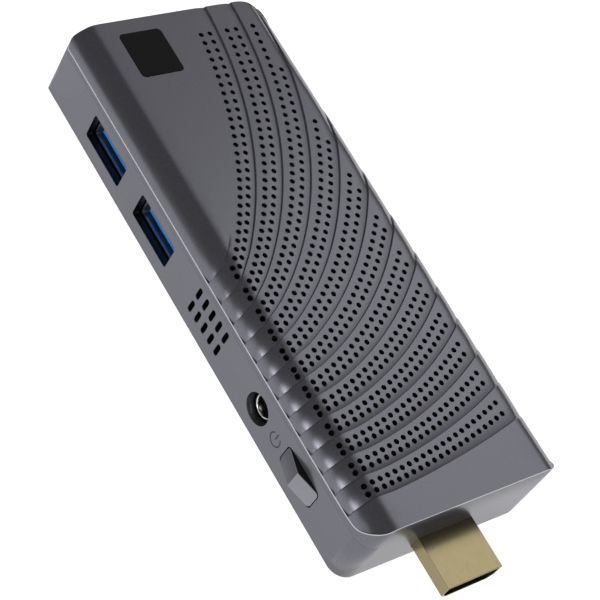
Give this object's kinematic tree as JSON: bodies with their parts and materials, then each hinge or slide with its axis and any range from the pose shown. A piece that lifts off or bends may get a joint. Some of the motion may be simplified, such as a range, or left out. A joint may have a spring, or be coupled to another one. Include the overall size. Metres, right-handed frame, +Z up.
{
  "type": "hdmi stick computer",
  "caption": "Flat stick computer with an HDMI plug at one end, a ridged and perforated cover, USB sockets, a power inlet and a power key in its long side, and a small blower inside.",
  "frame": {"origin": "centre of the case's flat base, without the plug", "axes": "+X along the case towards the HDMI plug, +Y across the case away from the wall with the USB sockets, +Z up from the base to the ridged cover"},
  "size_m": [0.131, 0.0495, 0.0184],
  "materials": {
    "case_plastic": "fine satin moulded plastic, dark grey",
    "badge_gloss": "gloss black",
    "black_plastic": "satin black",
    "blue_plastic": "satin blue",
    "board_laminate": "solder mask, green",
    "chip_resin": "moulded resin, black",
    "gold_plate": "pale gold plate",
    "sheet_steel": "tinned sheet",
    "screw_steel": "plain",
    "heatsink_aluminium": "plain",
    "copper_wire": "lacquered winding",
    "pad_rubber": "soft matt",
    "lead_sheath": "matt",
    "capacitor_ceramic": "fired ceramic",
    "socket_nylon": "natural nylon"
  },
  "bodies": {
    "stick": {"bottom_case": "case_plastic", "top_cover": "case_plastic", "badge": "badge_gloss", "switch_body": "black_plastic", "main_board": "board_laminate", "hdmi_shell": "gold_plate", "hdmi_insert": "black_plastic", "hdmi_contacts": "gold_plate", "usb_shell_1": "sheet_steel", "usb_shell_2": "sheet_steel", "usb_tongue_1": "blue_plastic", "usb_tongue_2": "blue_plastic", "usb_contacts_1": "gold_plate", "usb_contacts_2": "gold_plate", "inlet_body": "black_plastic", "inlet_sleeve": "sheet_steel", "inlet_pin": "sheet_steel", "processor": "chip_resin", "thermal_pad": "pad_rubber", "heatsink": "heatsink_aluminium", "heatsink_screws": "screw_steel", "fan_frame": "black_plastic", "fan_lid": "black_plastic", "fan_coil": "copper_wire", "fan_screws": "screw_steel", "fan_lead": "lead_sheath", "fan_socket": "socket_nylon", "memory_chips": "chip_resin", "storage_chip": "chip_resin", "wireless_board": "board_laminate", "wireless_can": "sheet_steel", "aerial": "copper_wire", "aerial_lead": "lead_sheath", "cell_clip": "black_plastic", "clock_cell": "sheet_steel", "card_socket": "sheet_steel", "sound_jack": "black_plastic", "power_chip": "chip_resin", "inductors": "chip_resin", "capacitors": "capacitor_ceramic", "board_screws": "screw_steel", "case_screws": "screw_steel"},
    "key": {"power_key": "case_plastic", "switch_plunger": "socket_nylon"},
    "rotor": {"fan_wheel": "black_plastic", "fan_shaft": "screw_steel"}
  },
  "joints": [
    {"name": "key_press", "type": "slide", "parent": "stick", "child": "key", "axis": [0, 1, 0], "range_m": [0, 0.0005], "stiffness_N_per_m": 3000},
    {"name": "fan_spin", "type": "hinge", "parent": "stick", "child": "rotor", "pos_m": [0.0049, 0.0066, 0.01], "axis": [0, 0, 1], "continuous": true}
  ]
}
